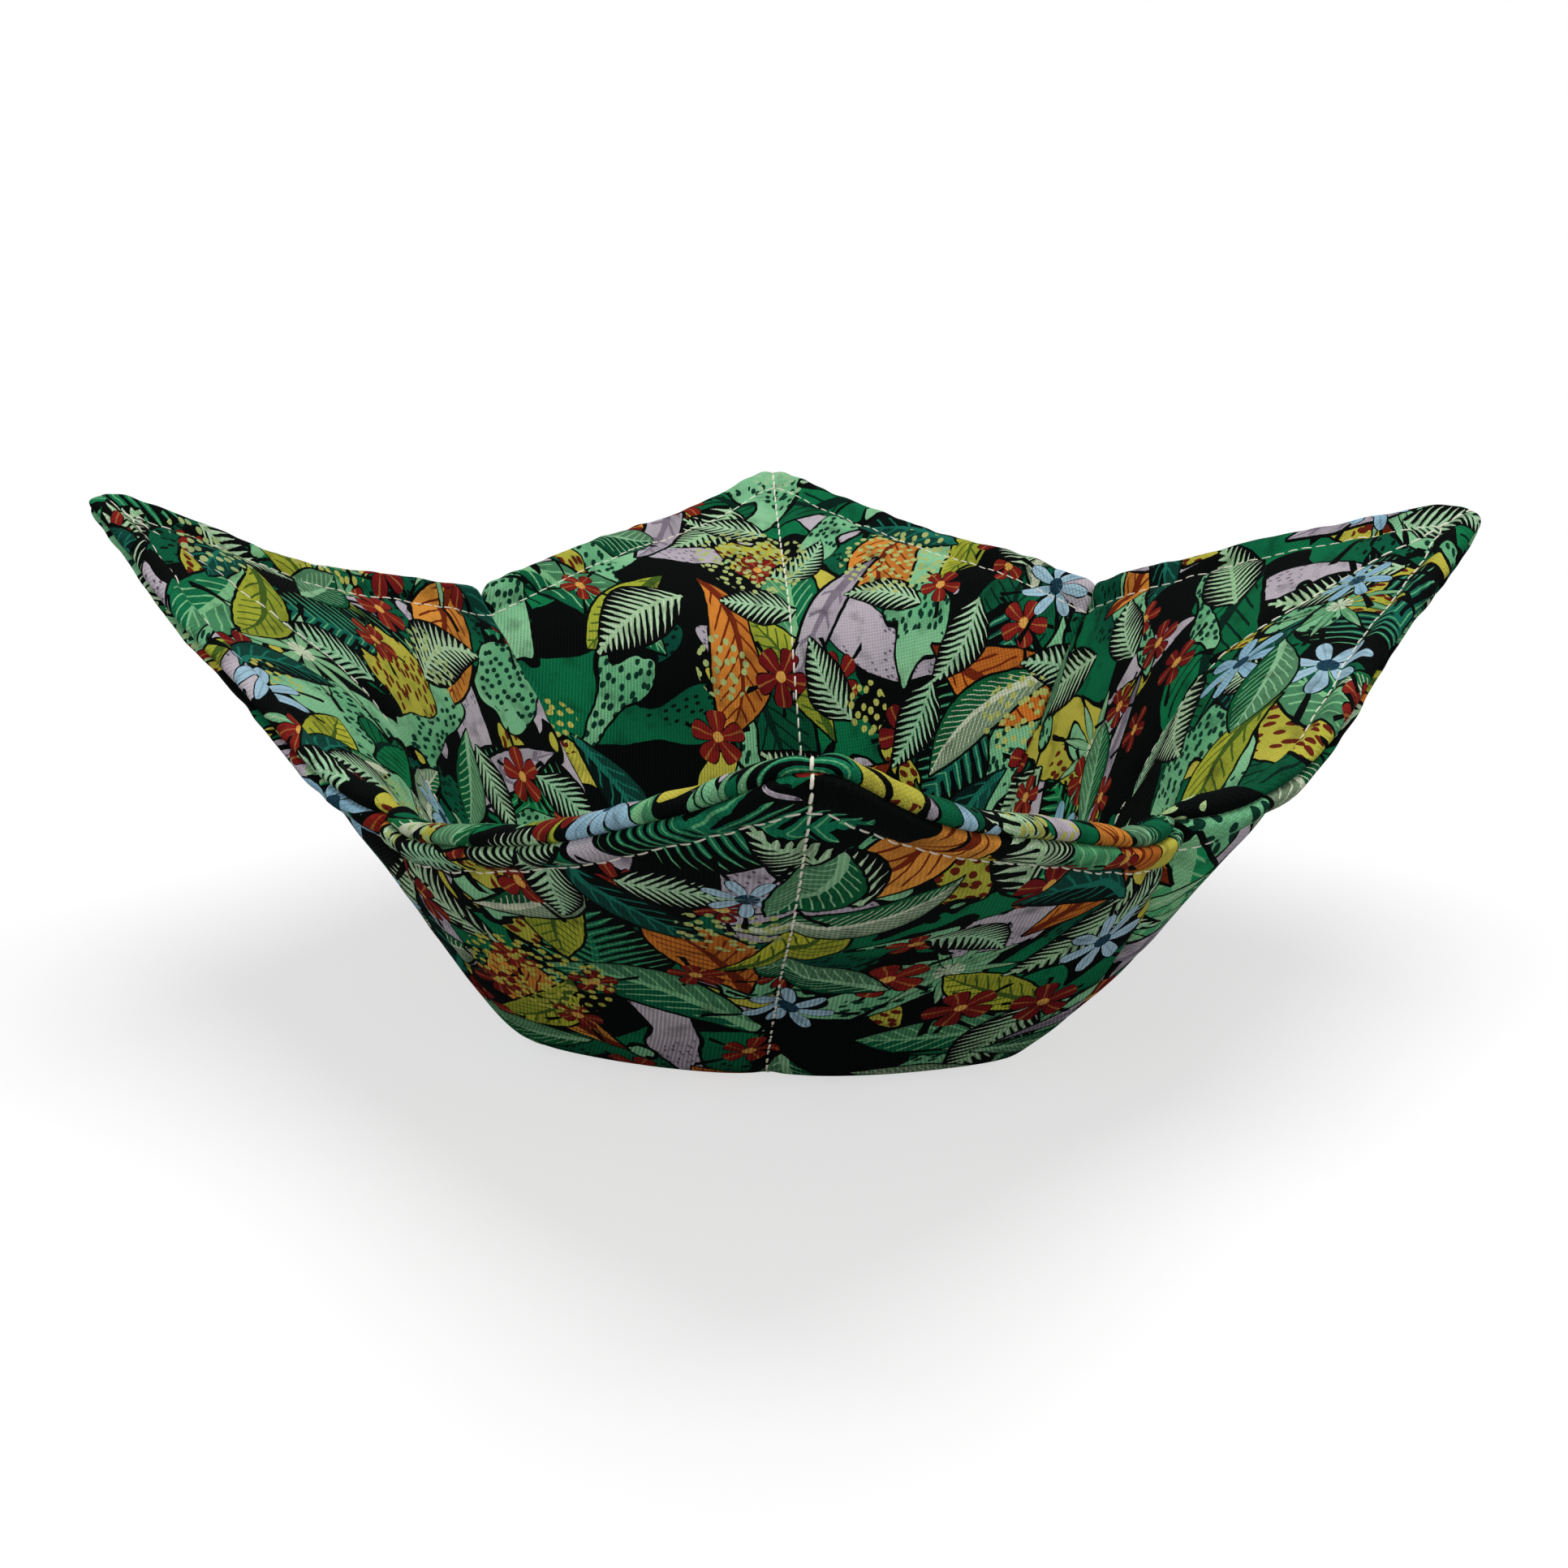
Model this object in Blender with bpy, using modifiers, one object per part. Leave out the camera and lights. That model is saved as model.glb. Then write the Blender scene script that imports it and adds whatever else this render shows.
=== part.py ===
"""Microwave bowl cozy: a padded square of printed cotton, darted in the middle of each side.

Metres, +Z up. The cozy stands on its flat base at z = 0, its four points on the X and Y axes,
the front point towards -Y. Every layer is worked out from one middle surface: a line drawn on
the cloth from the centre to the rim keeps its length, and only its slope changes on the way.
"""

import math

import bmesh
import bpy
import numpy as np

# The finished cloth square and its darts
HALF_SIDE = 0.120
CORNER_RADIUS = 0.004
DART_HALF_WIDTH = 0.0125

# The layers, from the middle surface outwards and inwards
COTTON_THICKNESS = 0.0005
BATTING_LOFT = 0.0020
LAYER_GAP = 0.0003

# The sewing
THREAD_DIAMETER = 0.0006
TOPSTITCH_INSET = 0.0045
STITCH_RECESS = 0.0012
SEAM_ANGLE = math.radians(125)

# The form that the cloth takes round a bowl
BASE_BEND = 0.020
FLARE_BEND = 0.039
TWIST = -5
TWIST_START = 0.050
TWIST_LENGTH = 0.060
CENTRE_X = -0.0028
CENTRE_Y = -0.0016

# Each line from the centre to the rim, anticlockwise from +X and 45 degrees apart. The points
# are the even ones and the darts the odd ones. Slopes and turns are in degrees; the base ends and
# the flare starts at a distance along the cloth.
RIGHT_POINT = {"base": 0.0395, "wall": 61, "flare": 0.0935, "lip": 26, "turn": 8.8}
BACK_RIGHT_DART = {"base": 0.046, "wall": 53, "flare": 0.097, "lip": 55, "turn": 0}
BACK_POINT = {"base": 0.044, "wall": 66, "flare": 0.080, "lip": 19, "turn": 1.7}
BACK_LEFT_DART = {"base": 0.046, "wall": 54, "flare": 0.097, "lip": 55, "turn": 0}
LEFT_POINT = {"base": 0.0445, "wall": 64.5, "flare": 0.0925, "lip": 39, "turn": 2.1}
FRONT_LEFT_DART = {"base": 0.0485, "wall": 50.5, "flare": 0.0725, "lip": 60, "turn": 4.2}
FRONT_POINT = {"base": 0.041, "wall": 47, "flare": 0.078, "lip": 41.5, "turn": 0.6}
FRONT_RIGHT_DART = {"base": 0.048, "wall": 46.5, "flare": 0.073, "lip": 65, "turn": -8}
LINES = (
    RIGHT_POINT,
    BACK_RIGHT_DART,
    BACK_POINT,
    BACK_LEFT_DART,
    LEFT_POINT,
    FRONT_LEFT_DART,
    FRONT_POINT,
    FRONT_RIGHT_DART,
)

# Fineness of the solids
SIDE_STEPS = 5
RING_STEPS = 12
LINING_ROLL_STEPS = 4
COVER_ROLL_STEPS = 2
LINE_SAMPLES = 200
THREAD_ROUNDNESS = 2
WELD_DISTANCE = 0.000003

# Colours
LEAF_COLOURS = (
    (0.00, (0.010, 0.014, 0.013)),
    (0.34, (0.013, 0.120, 0.055)),
    (0.55, (0.180, 0.460, 0.220)),
    (0.68, (0.020, 0.090, 0.095)),
    (0.78, (0.470, 0.420, 0.450)),
    (0.87, (0.480, 0.520, 0.080)),
    (0.94, (0.620, 0.200, 0.035)),
)
BATTING_COLOUR = (0.78, 0.75, 0.68)
THREAD_COLOUR = (0.85, 0.83, 0.78)
PATCH_SCALE = 95
COTTON_ROUGHNESS = 0.85

QUARTER = 90
EIGHTH = 45
HALF_THICKNESS = 1.5 * LAYER_GAP + BATTING_LOFT + COTTON_THICKNESS
RIM_RADIUS = HALF_THICKNESS
DART_TAKE_UP = math.degrees(math.atan(DART_HALF_WIDTH / HALF_SIDE))


def clear_scene():
    for item in list(bpy.data.objects):
        bpy.data.objects.remove(item)


def make_collection(name):
    collection = bpy.data.collections.new(name)
    bpy.context.scene.collection.children.link(collection)
    return collection


def ease(x):
    """A smooth step from 0 to 1."""
    x = np.clip(x, 0, 1)
    return x**3 * (x * (6 * x - 15) + 10)


def between_lines(direction, key):
    """A value at any direction: on a straight chord between a point's line and a dart's line."""
    values = np.array([line[key] for line in LINES], float)
    nearest = np.round(direction / QUARTER) * QUARTER
    away = direction - nearest
    share = (1 / np.cos(np.radians(np.abs(away))) - 1) / (math.sqrt(2) - 1)
    point = np.round(nearest / EIGHTH).astype(int) % len(LINES)
    dart = (point + np.where(away >= 0, 1, -1)) % len(LINES)
    return values[point] * (1 - share) + values[dart] * share


def cloth_reach(direction):
    """How far the rim is from the centre along the cloth: a square with round corners."""
    away = np.abs(direction - np.round(direction / QUARTER) * QUARTER)
    flat_away = np.radians(away * (EIGHTH - DART_TAKE_UP) / EIGHTH)
    side = HALF_SIDE / np.cos(math.radians(EIGHTH) - flat_away)
    centre = (HALF_SIDE - CORNER_RADIUS) * math.sqrt(2)
    under_root = CORNER_RADIUS**2 - (centre * np.sin(flat_away)) ** 2
    corner = centre * np.cos(flat_away) + np.sqrt(np.maximum(under_root, 0))
    in_corner = flat_away < math.atan2(HALF_SIDE, HALF_SIDE - CORNER_RADIUS) - math.radians(EIGHTH)
    return np.where(in_corner, corner, side)


def middle_surface(direction, share):
    """Points at a share of the way to the rim, by adding up short steps of changing slope."""
    reach = cloth_reach(direction) * share
    travelled = reach[..., None] * np.linspace(0, 1, LINE_SAMPLES)
    wall = between_lines(direction, "wall")[..., None]
    lip = between_lines(direction, "lip")[..., None]
    flare = between_lines(direction, "flare")[..., None]
    base = between_lines(direction, "base")[..., None]
    slope = wall * ease((travelled - base) / BASE_BEND)
    slope = np.radians(slope + (lip - wall) * ease((travelled - flare) / FLARE_BEND))
    step = reach / (LINE_SAMPLES - 1)
    run = (np.cos(slope[..., 1:]) + np.cos(slope[..., :-1])).sum(-1) / 2 * step
    rise = (np.sin(slope[..., 1:]) + np.sin(slope[..., :-1])).sum(-1) / 2 * step
    untwisted = ease((reach - TWIST_START) / TWIST_LENGTH)
    turn = between_lines(direction, "turn") * untwisted + TWIST * (1 - untwisted)
    turned = np.radians(direction + turn)
    x = CENTRE_X + run * np.cos(turned)
    y = CENTRE_Y + run * np.sin(turned)
    return np.stack([x, y, HALF_THICKNESS + rise], -1)


def rim_directions():
    """Directions evenly spaced along each side of the square, from corner to dart and back."""
    along = np.linspace(HALF_SIDE, DART_HALF_WIDTH, SIDE_STEPS + 1)
    flat_away = EIGHTH - np.degrees(np.arctan(along / HALF_SIDE))
    away = flat_away * EIGHTH / (EIGHTH - DART_TAKE_UP)
    quarter = np.concatenate([-away[:0:-1], away[:-1]])
    return np.concatenate([quarter + QUARTER * k for k in range(4)])


DIRECTIONS = rim_directions()
SIDES = len(DIRECTIONS)
ON_QUILTING = np.isclose(DIRECTIONS % QUARTER, 0) | np.isclose(DIRECTIONS % QUARTER, QUARTER)
STITCH_SHARE = 1 - TOPSTITCH_INSET / HALF_SIDE
SHARES = np.append(np.linspace(0, STITCH_SHARE, RING_STEPS + 1)[1:], 1)
RINGS = len(SHARES)
STITCH_RING = RINGS - 2


def grid_faces(rings, sides):
    """Triangles, facing down and out, and split the same way in every layer, so none cross."""
    here = np.arange(sides)
    after = (here + 1) % sides
    faces = [(0, 1 + b, 1 + a) for a, b in zip(here, after)]
    for ring in range(rings - 1):
        inner = 1 + ring * sides
        outer = inner + sides
        for a, b in zip(here, after):
            faces.append((inner + a, inner + b, outer + b))
            faces.append((inner + a, outer + b, outer + a))
    return faces


def middle_grid():
    """The middle surface as rows of points, with the directions out of its face at each."""
    direction, share = np.meshgrid(DIRECTIONS, SHARES)
    centre = middle_surface(np.zeros(1), np.zeros(1))
    points = np.concatenate([centre, middle_surface(direction, share).reshape(-1, 3)])
    shape = bmesh.new()
    corners = [shape.verts.new(point) for point in points]
    for face in grid_faces(RINGS, SIDES):
        shape.faces.new([corners[i] for i in face])
    shape.normal_update()
    outwards = np.array([corner.normal for corner in corners])
    shape.free()
    return points, outwards


MIDDLE, OUTWARDS = middle_grid()
SEWN = np.zeros((RINGS, SIDES), bool)
SEWN[:STITCH_RING + 1, ON_QUILTING] = True
SEWN[STITCH_RING] = True
SEWN = np.append(True, SEWN.ravel())


def rim_frame():
    """The last ring, the way off the edge of the cloth and the way out of its face."""
    edge = MIDDLE[-SIDES:]
    outwards = OUTWARDS[-SIDES:]
    tangent = np.roll(edge, -1, 0) - np.roll(edge, 1, 0)
    off = np.cross(outwards, tangent)
    off /= np.linalg.norm(off, axis=1)[:, None]
    away = edge - MIDDLE[-2 * SIDES:-SIDES]
    off *= np.sign((off * away).sum(1))[:, None]
    return edge, off, outwards


def rolled_rings(angles):
    """Rings on the round of the rim: 0 is its inner face and half a turn its outer face."""
    edge, off, outwards = rim_frame()
    rings = [
        edge + RIM_RADIUS * (math.sin(angle) * off - math.cos(angle) * outwards)
        for angle in angles
    ]
    return np.concatenate(rings)


def face_of_layer(distance, recess):
    """The middle surface moved out by a distance, less the recess where it is sewn down."""
    return MIDDLE + OUTWARDS * (distance - np.sign(distance) * recess * SEWN)[:, None]


def make_object(name, mesh, material, collection):
    item = bpy.data.objects.new(name, mesh)
    item.data.materials.append(material)
    collection.objects.link(item)
    return item


def open_surface(name, points, rings, flip, material, collection):
    faces = grid_faces(rings, SIDES)
    if flip:
        faces = [face[::-1] for face in faces]
    mesh = bpy.data.meshes.new(name)
    mesh.from_pydata([tuple(point) for point in points], [], faces)
    mesh.validate()
    mesh.shade_smooth()
    return make_object(name, mesh, material, collection)


def thicken(item, thickness, side):
    solid = item.modifiers.new("thickness", "SOLIDIFY")
    solid.thickness = thickness
    solid.offset = side
    return solid


def make_cotton_layer(name, side, angles, material, collection):
    """A cotton sheet whose last rings run round the rim to the seam. Side is 1 out and -1 in."""
    sheet = face_of_layer(side * HALF_THICKNESS, STITCH_RECESS)
    points = np.concatenate([sheet, rolled_rings(angles)])
    rings = RINGS + len(angles)
    item = open_surface(name, points, rings, side < 0, material, collection)
    thicken(item, COTTON_THICKNESS, -1)
    return item


def make_batting_layer(name, side, material, collection):
    """Padding that starts beside the middle surface and is pressed thin where it is sewn."""
    points = face_of_layer(side * LAYER_GAP / 2, 0)
    item = open_surface(name, points, RINGS, side < 0, material, collection)
    loft = item.vertex_groups.new(name="loft")
    pressed = 1 - STITCH_RECESS / BATTING_LOFT
    for index, sewn in enumerate(SEWN):
        loft.add([index], pressed if sewn else 1, "REPLACE")
    solid = thicken(item, BATTING_LOFT, 1)
    solid.vertex_group = loft.name
    return item


def thread_curve(name, points, closed, material, collection):
    curve = bpy.data.curves.new(name, "CURVE")
    curve.dimensions = "3D"
    curve.bevel_depth = THREAD_DIAMETER / 2
    curve.bevel_resolution = THREAD_ROUNDNESS
    curve.use_fill_caps = True
    spline = curve.splines.new("POLY")
    spline.points.add(len(points) - 1)
    for place, point in zip(spline.points, points):
        place.co = (*point, 1)
    spline.use_cyclic_u = closed
    return make_object(name, curve, material, collection)


def thread_line(side):
    """Where a thread's middle runs: a gap clear of the sewn-down face of the cotton."""
    clear = HALF_THICKNESS - STITCH_RECESS + LAYER_GAP + THREAD_DIAMETER / 2
    return MIDDLE + side * clear * OUTWARDS


def make_topstitch(name, side, material, collection):
    start = 1 + STITCH_RING * SIDES
    ring = thread_line(side)[start:start + SIDES]
    return thread_curve(name, ring, True, material, collection)


def quilting_path(side, first):
    """From one point of the cozy through the centre to the opposite one, short of the topstitch."""
    line = thread_line(side)
    halves = []
    for column in (first, first + SIDES // 2):
        path = line[[1 + ring * SIDES + column for ring in range(STITCH_RING + 1)]]
        step = path[-1] - path[-2]
        path[-1] -= step / np.linalg.norm(step) * (THREAD_DIAMETER + LAYER_GAP)
        halves.append(path)
    return np.concatenate([halves[0][::-1], line[:1], halves[1]])


def as_mesh(item, collection):
    """The curve as a mesh with its caps welded on."""
    graph = bpy.context.evaluated_depsgraph_get()
    mesh = bpy.data.meshes.new_from_object(item.evaluated_get(graph))
    shape = bmesh.new()
    shape.from_mesh(mesh)
    bmesh.ops.remove_doubles(shape, verts=shape.verts, dist=WELD_DISTANCE)
    bmesh.ops.recalc_face_normals(shape, faces=shape.faces)
    shape.to_mesh(mesh)
    shape.free()
    name = item.name
    bpy.data.objects.remove(item)
    solid = bpy.data.objects.new(name, mesh)
    collection.objects.link(solid)
    return solid


def make_quilting(name, side, material, collection, cutters):
    """Two stitched lines that cross at the centre, joined where they cross."""
    first = int(np.flatnonzero(ON_QUILTING)[0])
    lines = []
    for number, column in enumerate((first, first + SIDES // 4)):
        path = quilting_path(side, column)
        curve = thread_curve(f"{name}_{number}", path, False, material, collection)
        lines.append(as_mesh(curve, cutters if number else collection))
    cross, other = lines
    cross.name = name
    other.hide_render = True
    other.display_type = "WIRE"
    union = cross.modifiers.new("crossing", "BOOLEAN")
    union.operation = "UNION"
    union.solver = "EXACT"
    union.object = other
    return cross


def plain_material(name, colour, roughness):
    material = bpy.data.materials.new(name)
    material.use_nodes = True
    shader = material.node_tree.nodes["Principled BSDF"]
    shader.inputs["Base Color"].default_value = (*colour, 1)
    shader.inputs["Roughness"].default_value = roughness
    shader.inputs["Metallic"].default_value = 0
    return material


def printed_material(name, shift):
    """Cotton with patches of leaf greens, lilac, lime and orange on a dark ground."""
    material = plain_material(name, LEAF_COLOURS[1][1], COTTON_ROUGHNESS)
    nodes = material.node_tree.nodes
    links = material.node_tree.links
    place = nodes.new("ShaderNodeTexCoord")
    mapping = nodes.new("ShaderNodeMapping")
    mapping.inputs["Location"].default_value = (shift, shift, 0)
    cells = nodes.new("ShaderNodeTexVoronoi")
    cells.inputs["Scale"].default_value = PATCH_SCALE
    ramp = nodes.new("ShaderNodeValToRGB")
    ramp.color_ramp.interpolation = "CONSTANT"
    stops = ramp.color_ramp.elements
    while len(stops) < len(LEAF_COLOURS):
        stops.new(1)
    for stop, (position, colour) in zip(stops, LEAF_COLOURS):
        stop.position = position
        stop.color = (*colour, 1)
    links.new(place.outputs["Object"], mapping.inputs["Vector"])
    links.new(mapping.outputs["Vector"], cells.inputs["Vector"])
    links.new(cells.outputs["Color"], ramp.inputs["Fac"])
    links.new(ramp.outputs["Color"], nodes["Principled BSDF"].inputs["Base Color"])
    return material


def main():
    clear_scene()
    parts = make_collection("microwave_bowl_cozy")
    helpers = make_collection("cutters")
    batting = plain_material("cotton_batting", BATTING_COLOUR, COTTON_ROUGHNESS)
    thread = plain_material("sewing_thread", THREAD_COLOUR, COTTON_ROUGHNESS)
    lining_roll = np.linspace(0, SEAM_ANGLE, LINING_ROLL_STEPS + 1)[1:]
    seam_gap = LAYER_GAP / (RIM_RADIUS - COTTON_THICKNESS)
    cover_roll = np.linspace(math.pi, SEAM_ANGLE + seam_gap, COVER_ROLL_STEPS + 1)[1:]
    printed = printed_material("outer_printed_cotton", 0)
    make_cotton_layer("outer_cover", 1, cover_roll, printed, parts)
    make_batting_layer("outer_batting", 1, batting, parts)
    make_batting_layer("lining_batting", -1, batting, parts)
    printed = printed_material("lining_printed_cotton", HALF_SIDE)
    make_cotton_layer("inner_lining", -1, lining_roll, printed, parts)
    make_quilting("outer_quilting_thread", 1, thread, parts, helpers)
    make_quilting("lining_quilting_thread", -1, thread, parts, helpers)
    make_topstitch("outer_rim_topstitch", 1, thread, parts)
    make_topstitch("lining_rim_topstitch", -1, thread, parts)


main()
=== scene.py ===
# %% [markdown]
# # A bowl cozy in quilted cotton
#
# A bowl cozy is sewn from two equal squares of printed cotton. Each square is quilted to a sheet of
# wadding with a stitched cross, and a dart is sewn in the middle of each of its sides, so that it
# stands up like a nest. The two nests are sewn together rim to rim, turned right side out, and
# stitched once more about 7 mm inside the rim. The four corners stand up as points to lift by.
#
# The cozy could be draped by a cloth simulation, but its form comes from the cutting and the
# sewing, so it is worked out directly: a line drawn on the cloth from the centre to the rim keeps
# its length and only its slope changes. Every layer is that one surface, moved out or in.

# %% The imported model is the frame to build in
import math

import bpy
import numpy as np
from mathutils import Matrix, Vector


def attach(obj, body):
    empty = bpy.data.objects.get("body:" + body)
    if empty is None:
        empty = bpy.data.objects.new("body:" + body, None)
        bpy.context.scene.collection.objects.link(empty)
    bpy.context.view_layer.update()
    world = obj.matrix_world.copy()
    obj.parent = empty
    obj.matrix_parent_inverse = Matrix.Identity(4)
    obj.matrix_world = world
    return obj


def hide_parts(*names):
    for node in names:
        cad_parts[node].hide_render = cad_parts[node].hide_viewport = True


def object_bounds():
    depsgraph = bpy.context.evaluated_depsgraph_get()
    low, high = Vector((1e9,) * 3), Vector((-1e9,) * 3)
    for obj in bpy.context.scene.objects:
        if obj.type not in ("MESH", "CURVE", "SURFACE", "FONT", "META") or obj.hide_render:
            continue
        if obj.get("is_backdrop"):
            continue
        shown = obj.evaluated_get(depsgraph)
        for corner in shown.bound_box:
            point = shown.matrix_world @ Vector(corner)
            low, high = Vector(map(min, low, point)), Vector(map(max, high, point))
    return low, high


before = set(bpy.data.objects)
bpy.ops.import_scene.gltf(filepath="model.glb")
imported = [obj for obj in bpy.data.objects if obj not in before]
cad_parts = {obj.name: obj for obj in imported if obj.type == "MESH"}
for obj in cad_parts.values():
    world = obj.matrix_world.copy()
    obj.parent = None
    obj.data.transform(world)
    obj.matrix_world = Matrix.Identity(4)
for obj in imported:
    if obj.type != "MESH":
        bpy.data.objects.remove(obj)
cad_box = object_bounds()
print("nodes:", list(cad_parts))

# %% [markdown]
# ## The form of the cloth
#
# Eight lines lead from the centre to the rim: four to the points and four to the darts. Along each,
# the cloth lies flat on the table, bends up to the slope of the wall, and near the rim eases to
# the slope of the lip. Between two lines the slopes are blended as on a straight chord, so that a
# crease lies at each dart, and below the dart's tip, where the cloth is whole, it is rounded off.
# The stitched cross is turned a little at the base, each point sways a little to one side, and the
# end of the front point curls up, where the seam's spare cloth stiffens it.

# %% Sizes in metres, and the slopes of the eight lines in degrees
HALF_SIDE = 0.120
CORNER_RADIUS = 0.004
DART_HALF_WIDTH = 0.0125
DART_LENGTH = 0.050
HALF_THICKNESS = 0.00295
TOPSTITCH_INSET = 0.0045
BASE_BEND, FLARE_BEND = 0.020, 0.039
TWIST, TWIST_START, TWIST_LENGTH = -5, 0.053, 0.045
FRONT, FRONT_CURL, CURL_LENGTH = -90, 15, 0.014
CENTRE = (-0.0028, -0.0016)
LINES = {
    "base": (0.0395, 0.046, 0.044, 0.046, 0.0445, 0.0485, 0.041, 0.048),
    "wall": (61, 53, 66, 54, 64.5, 50.5, 47, 46.5),
    "flare": (0.0935, 0.097, 0.080, 0.097, 0.0925, 0.0725, 0.078, 0.073),
    "lip": (26, 55, 19, 55, 39, 60, 40.4, 65),
    "turn": (8.8, 0, 1.7, 0, 2.1, 4.2, 0.9, -8),
}
TAKE_UP = math.degrees(math.atan(DART_HALF_WIDTH / HALF_SIDE))
print(f"each dart takes up {2 * TAKE_UP:.1f} degrees of the square's middle")


# %% The middle surface, between the two layers of wadding
def ease(x):
    """A smooth step: 0 up to 0, 1 from 1 on, and level at both ends."""
    x = np.clip(x, 0, 1)
    return x**3 * (x * (6 * x - 15) + 10)


def from_point(direction):
    """Degrees from the nearest point's line, from -45 to 45."""
    return direction - np.round(direction / 90) * 90


def between_lines(direction, travelled, key):
    """A value between a point's line and a dart's line, blended as on a straight chord. Below the
    dart's tip the chords' meeting is rounded off, by a distance that a square root keeps from 0."""
    values = np.array(LINES[key], float)
    away = from_point(direction)
    rounding = 4 * (1 - ease((travelled - 0.060) / 0.030))
    rounded = 45 - np.sqrt((45 - np.abs(away)) ** 2 + rounding**2)
    share = np.maximum((1 / np.cos(np.radians(rounded)) - 1) / (math.sqrt(2) - 1), 0)
    point = np.round(direction / 45 - away / 45).astype(int) % 8
    dart = (point + np.where(away >= 0, 1, -1)) % 8
    return values[point] * (1 - share) + values[dart] * share


def from_front(direction):
    """Degrees from the front point's line, from -180 to 180."""
    return (direction - FRONT + 180) % 360 - 180


def reach_to_rim(direction):
    """Length along the cloth from the centre to the rim: a square with round corners, less the
    wedges of the darts."""
    flat_away = np.radians(np.abs(from_point(direction)) * (45 - TAKE_UP) / 45)
    side = HALF_SIDE / np.cos(math.pi / 4 - flat_away)
    centre = (HALF_SIDE - CORNER_RADIUS) * math.sqrt(2)
    under_root = CORNER_RADIUS**2 - (centre * np.sin(flat_away)) ** 2
    corner = centre * np.cos(flat_away) + np.sqrt(np.maximum(under_root, 0))
    in_corner = flat_away < math.atan2(HALF_SIDE, HALF_SIDE - CORNER_RADIUS) - math.pi / 4
    return np.where(in_corner, corner, side)


def untwist(travelled):
    """Share of the base's twist that is lost: one less an exponential from the base's edge on."""
    beyond = (travelled - TWIST_START) / TWIST_LENGTH
    return 1 - np.exp(-(beyond + np.sqrt(beyond**2 + 0.03)) / 2)


def middle_surface(direction, share):
    """Adds up 100 short steps outwards, each tilted by the slope at its place: flat, then the
    wall's slope, then the lip's. The whole is turned by the base's twist, which fades outwards, and
    by the sway of the points, which grows as the twist fades."""
    reach = reach_to_rim(direction) * share
    travelled = reach[..., None] * np.linspace(0, 1, 101)
    wide = direction[..., None] + 0 * travelled
    wall = between_lines(wide, travelled, "wall")
    lip = between_lines(wide, travelled, "lip")
    flare = between_lines(wide, travelled, "flare")
    base = between_lines(wide, travelled, "base")
    slope = wall * ease((travelled - base) / BASE_BEND)
    slope = slope + (lip - wall) * ease((travelled - flare) / FLARE_BEND)
    to_rim = reach_to_rim(direction)[..., None] - travelled
    curl = FRONT_CURL * np.exp(-((from_front(wide) / 6) ** 2)) * ease(1 - to_rim / CURL_LENGTH)
    slope = np.radians(slope + curl)
    run = (np.cos(slope[..., 1:]) + np.cos(slope[..., :-1])).sum(-1) / 200 * reach
    rise = (np.sin(slope[..., 1:]) + np.sin(slope[..., :-1])).sum(-1) / 200 * reach
    untwisted = untwist(reach) / untwist(reach_to_rim(direction))
    turn = between_lines(direction, reach, "turn") * untwisted + TWIST * (1 - untwisted)
    turned = np.radians(direction + turn)
    across = [CENTRE[0] + run * np.cos(turned), CENTRE[1] + run * np.sin(turned)]
    return np.stack([*across, HALF_THICKNESS + rise], -1)


tips = middle_surface(np.arange(8) * 45.0, np.ones(8))
print("ends of the eight lines, mm:", (tips * 1000).round(1).tolist())

# %% [markdown]
# ## Squares, not circles
#
# A sheet could be laid out in rings and spokes, but the spokes would crowd at the centre. A square
# grid from -1 to 1 each way fits a square of cloth better: the stitched cross runs on its
# diagonals, the darts are at the middle of its sides, and the stitching round the rim is a ring.


# %% From the square grid to the cloth, with soft folds and the directions out of its face
def spot_on_cloth(p, q):
    """Direction in degrees and share of the way to the rim: the square's corners lie on the
    X and Y axes, and a ring of the square is a ring of the cloth."""
    return np.degrees(np.arctan2(q, p)) + 45, np.maximum(np.abs(p), np.abs(q))


def ripples(x, y, length, seed):
    """Soft folds from about -1 to 1: a sum of twelve sine waves of about one length, in all
    directions."""
    dice = np.random.default_rng(seed)
    turn = dice.uniform(0, 2 * math.pi, 12)
    wave = 2 * math.pi / (length * dice.uniform(0.7, 1.5, 12))
    across = x[..., None] * np.cos(turn) + y[..., None] * np.sin(turn)
    return np.sin(across * wave + dice.uniform(0, 2 * math.pi, 12)).sum(-1) / 5


def cloth_frame(p, q):
    """Points of the middle surface and the directions out of it, by the cross product of two
    short steps along the grid, with shallow waves where the cloth stands free of the table."""
    step = 0.004
    along_p = middle_surface(*spot_on_cloth(p + step, q)) - middle_surface(*spot_on_cloth(p - step, q))
    along_q = middle_surface(*spot_on_cloth(p, q + step)) - middle_surface(*spot_on_cloth(p, q - step))
    outwards = np.cross(along_q, along_p)
    outwards /= np.linalg.norm(outwards, axis=-1)[..., None]
    points = middle_surface(*spot_on_cloth(p, q))
    share = np.maximum(np.abs(p), np.abs(q))
    wave = 0.0011 * ripples(p, q, 0.55, 3) * ease((share - 0.35) / 0.4)
    return points + outwards * wave[..., None], outwards


# %% [markdown]
# ## Puffed and pinched
#
# Wadding swells the cloth, and every line of stitches pulls it down again. So the height of a face
# above the middle surface is full between the lines and falls off in a narrow valley at each: the
# cross, the stitching round the rim and the darts. Small puckers lie along the valleys. A bump in
# the material could shade such valleys, but their outline against the light would stay smooth.


# %% Depths and widths of the valleys, in metres, and the folds across the rim
PULLED_IN, SWELL, PUCKER = 0.0014, 0.0006, 0.00030
CROSS_VALLEY, HEM_VALLEY, DART_VALLEY = 0.0026, 0.0021, 0.0022
PRESSED = 0.0007
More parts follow.
